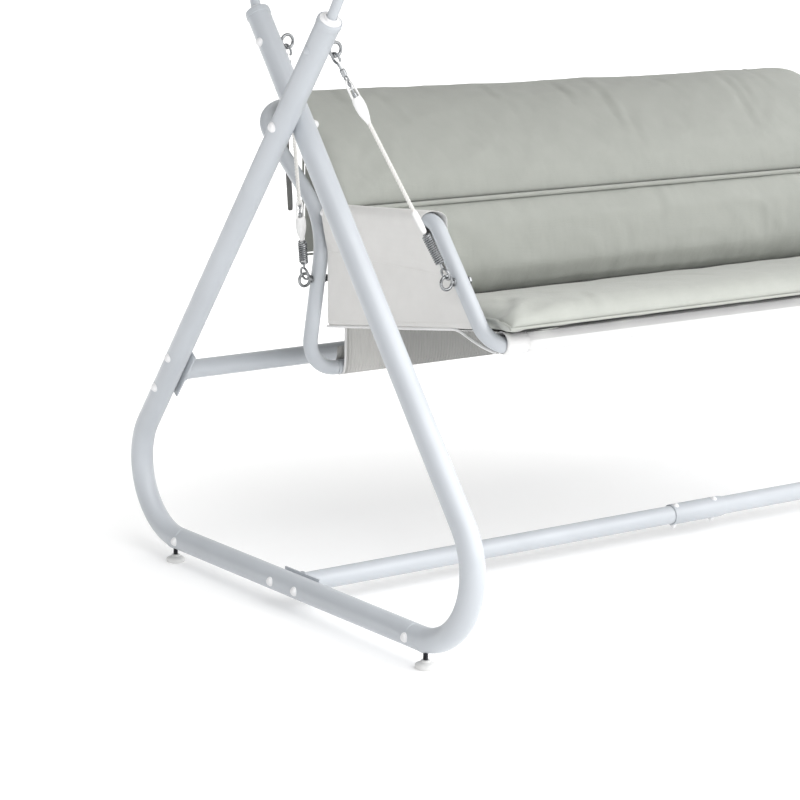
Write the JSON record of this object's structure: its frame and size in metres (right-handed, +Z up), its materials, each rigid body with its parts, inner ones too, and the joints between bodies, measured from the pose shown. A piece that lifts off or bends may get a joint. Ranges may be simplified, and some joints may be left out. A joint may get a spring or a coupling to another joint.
{
  "type": "garden swing seat",
  "caption": "Free-standing garden swing seat: padded bench hung on sprung ropes between crossed tubular end frames, with a cloth canopy on slim poles.",
  "frame": {"origin": "middle of the footprint on the floor plane", "axes": "+X runs along the seat to the sitter's left, -Y is the front, +Z is up"},
  "size_m": [1.7418, 0.986, 1.498],
  "materials": {
    "paint": "satin pale blue-grey powder coat",
    "steel": "bright zinc plated",
    "plastic": "moulded white, matte",
    "rope": "white braided cord with moulded ends",
    "cloth": "off-white woven cloth",
    "cushion": "grey-green padded cotton cloth"
  },
  "bodies": {
    "stand": {"left_base_tube": "paint", "right_base_tube": "paint", "left_front_leg": "paint", "left_rear_leg": "paint", "right_front_leg": "paint", "right_rear_leg": "paint", "left_crossing_bolt": "steel", "right_crossing_bolt": "steel", "left_floor_spreader": "paint", "right_floor_spreader": "paint", "rear_spreader": "paint", "left_front_top_eye": "steel", "left_rear_top_eye": "steel", "right_front_top_eye": "steel", "right_rear_top_eye": "steel", "left_canopy_rib": "paint", "left_front_canopy_pole": "paint", "left_rear_canopy_pole": "paint", "right_canopy_rib": "paint", "right_front_canopy_pole": "paint", "right_rear_canopy_pole": "paint", "front_canopy_bar": "paint", "rear_canopy_bar": "paint", "canopy_roof": "cloth"},
    "left_front_hanger": {"left_front_hook": "steel", "left_front_rope": "rope", "left_front_spring": "steel"},
    "left_rear_hanger": {"left_rear_hook": "steel", "left_rear_rope": "rope", "left_rear_spring": "steel"},
    "right_front_hanger": {"right_front_hook": "steel", "right_front_rope": "rope", "right_front_spring": "steel"},
    "right_rear_hanger": {"right_rear_hook": "steel", "right_rear_rope": "rope", "right_rear_spring": "steel"},
    "seat": {"left_front_seat_eye": "steel", "left_rear_seat_eye": "steel", "right_front_seat_eye": "steel", "right_rear_seat_eye": "steel", "front_seat_tube": "paint", "rear_seat_tube": "paint", "back_top_tube": "paint", "left_arm_tube": "paint", "left_back_tube": "paint", "left_side_panel": "cloth", "right_arm_tube": "paint", "right_back_tube": "paint", "right_side_panel": "cloth", "seat_sling": "cloth", "back_sling": "cloth", "seat_cushion": "cushion", "back_cushion": "cushion"},
    "left_front_levelling_foot": {"left_front_foot": "plastic"},
    "left_rear_levelling_foot": {"left_rear_foot": "plastic"},
    "right_front_levelling_foot": {"right_front_foot": "plastic"},
    "right_rear_levelling_foot": {"right_rear_foot": "plastic"}
  },
  "joints": [
    {"name": "left_front_swing", "type": "hinge", "parent": "stand", "child": "left_front_hanger", "pos_m": [-0.8113, -0.0974, 0.8825], "axis": [1, 0, 0], "range_deg": [-15, 15]},
    {"name": "seat_tilt", "type": "hinge", "parent": "left_front_hanger", "child": "seat", "pos_m": [-0.658, -0.1769, 0.5465], "axis": [1, 0, 0], "range_deg": [-9, 9]},
    {"name": "right_front_swing", "type": "hinge", "parent": "stand", "child": "right_front_hanger", "pos_m": [0.8113, -0.0974, 0.8825], "axis": [1, 0, 0], "range_deg": [-16, 16]},
    {"name": "left_rear_swing", "type": "hinge", "parent": "stand", "child": "left_rear_hanger", "pos_m": [-0.767, 0.0974, 0.8825], "axis": [1, 0, 0], "range_deg": [-15, 15]},
    {"name": "right_rear_swing", "type": "hinge", "parent": "stand", "child": "right_rear_hanger", "pos_m": [0.767, 0.0974, 0.8825], "axis": [1, 0, 0], "range_deg": [-15, 15]},
    {"name": "left_front_foot_screw", "type": "hinge", "parent": "stand", "child": "left_front_levelling_foot", "pos_m": [-0.823, -0.352, 0.012], "axis": [0, 0, 1], "continuous": true},
    {"name": "left_rear_foot_screw", "type": "hinge", "parent": "stand", "child": "left_rear_levelling_foot", "pos_m": [-0.823, 0.352, 0.012], "axis": [0, 0, 1], "continuous": true},
    {"name": "right_front_foot_screw", "type": "hinge", "parent": "stand", "child": "right_front_levelling_foot", "pos_m": [0.823, -0.352, 0.012], "axis": [0, 0, 1], "continuous": true},
    {"name": "right_rear_foot_screw", "type": "hinge", "parent": "stand", "child": "right_rear_levelling_foot", "pos_m": [0.823, 0.352, 0.012], "axis": [0, 0, 1], "continuous": true}
  ],
  "couplings": [
    {"joint": "seat_tilt", "follows": "left_front_swing", "ratio": -0.526},
    {"joint": "right_front_swing", "follows": "left_front_swing", "ratio": 1},
    {"joint": "left_rear_swing", "follows": "left_front_swing", "ratio": 0.936},
    {"joint": "right_rear_swing", "follows": "left_front_swing", "ratio": 0.936}
  ]
}
